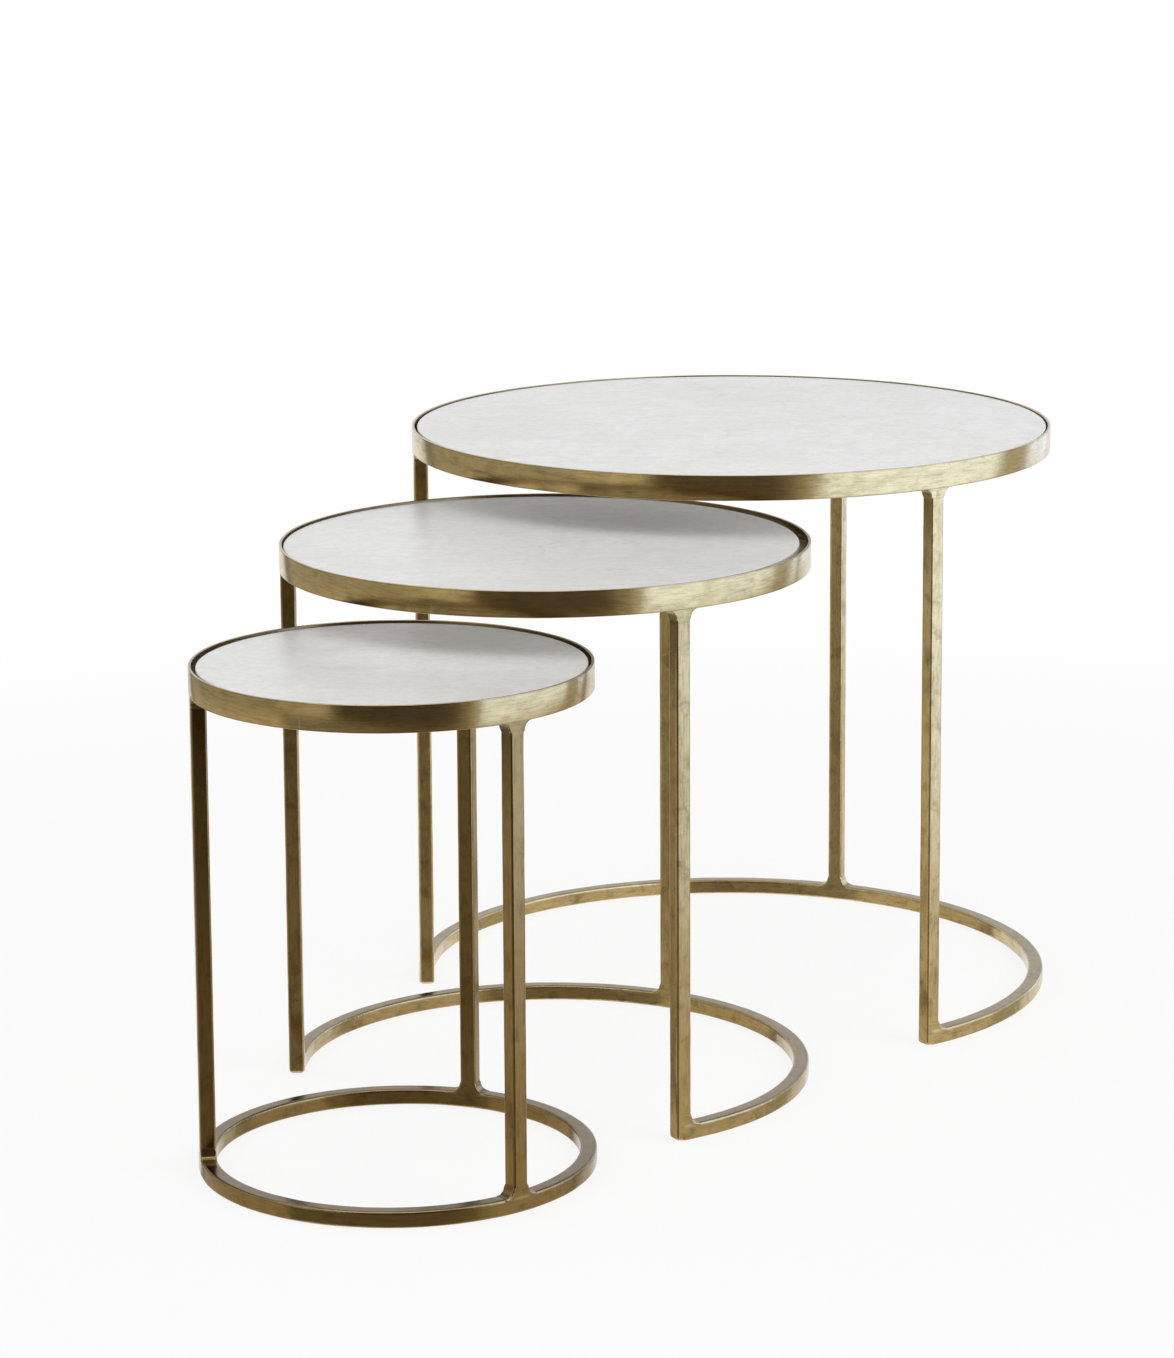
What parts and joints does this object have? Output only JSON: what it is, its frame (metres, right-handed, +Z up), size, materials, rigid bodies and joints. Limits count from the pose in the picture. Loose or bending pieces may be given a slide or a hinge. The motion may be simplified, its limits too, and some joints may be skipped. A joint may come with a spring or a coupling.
{
  "type": "nesting tables",
  "caption": "Round nesting side tables with loose stone tops in metal rims on square-bar legs and base rings, sliding under one another.",
  "frame": {"origin": "on the floor, under the middle of the set's bounding box", "axes": "+Z up; +Y from the large table's open front to its back leg, along the row of tables; +X to the right seen from the open front"},
  "size_m": [0.6296, 1.1518, 0.564],
  "materials": {
    "antique_brass": "antique brushed",
    "marble": "honed",
    "clear_silicone": "soft clear"
  },
  "bodies": {
    "large_frame": {"large_rim_band": "antique_brass", "large_support_ledge": "antique_brass", "large_stone_pads": "clear_silicone", "large_base_ring": "antique_brass", "large_leg_back": "antique_brass", "large_leg_left": "antique_brass", "large_leg_right": "antique_brass"},
    "large_stone": {"large_stone_top": "marble"},
    "middle_frame": {"middle_rim_band": "antique_brass", "middle_support_ledge": "antique_brass", "middle_stone_pads": "clear_silicone", "middle_base_ring": "antique_brass", "middle_leg_back": "antique_brass", "middle_leg_left": "antique_brass", "middle_leg_right": "antique_brass"},
    "middle_stone": {"middle_stone_top": "marble"},
    "small_frame": {"small_rim_band": "antique_brass", "small_support_ledge": "antique_brass", "small_stone_pads": "clear_silicone", "small_base_ring": "antique_brass", "small_leg_back": "antique_brass", "small_leg_left": "antique_brass", "small_leg_right": "antique_brass"},
    "small_stone": {"small_stone_top": "marble"}
  },
  "joints": [
    {"name": "middle_nest_slide", "type": "slide", "parent": "large_frame", "child": "middle_frame", "axis": [0.1478, 0.989, 0], "range_m": [-0.215, 0.373]},
    {"name": "small_nest_slide", "type": "slide", "parent": "middle_frame", "child": "small_frame", "axis": [0.0471, 0.9989, 0], "range_m": [-0.15, 0.292]},
    {"name": "large_stone_lift", "type": "slide", "parent": "large_frame", "child": "large_stone", "axis": [0, 0, 1], "range_m": [0, 0.06]},
    {"name": "middle_stone_lift", "type": "slide", "parent": "middle_frame", "child": "middle_stone", "axis": [0, 0, 1], "range_m": [0, 0.03]},
    {"name": "small_stone_lift", "type": "slide", "parent": "small_frame", "child": "small_stone", "axis": [0, 0, 1], "range_m": [0, 0.03]}
  ]
}
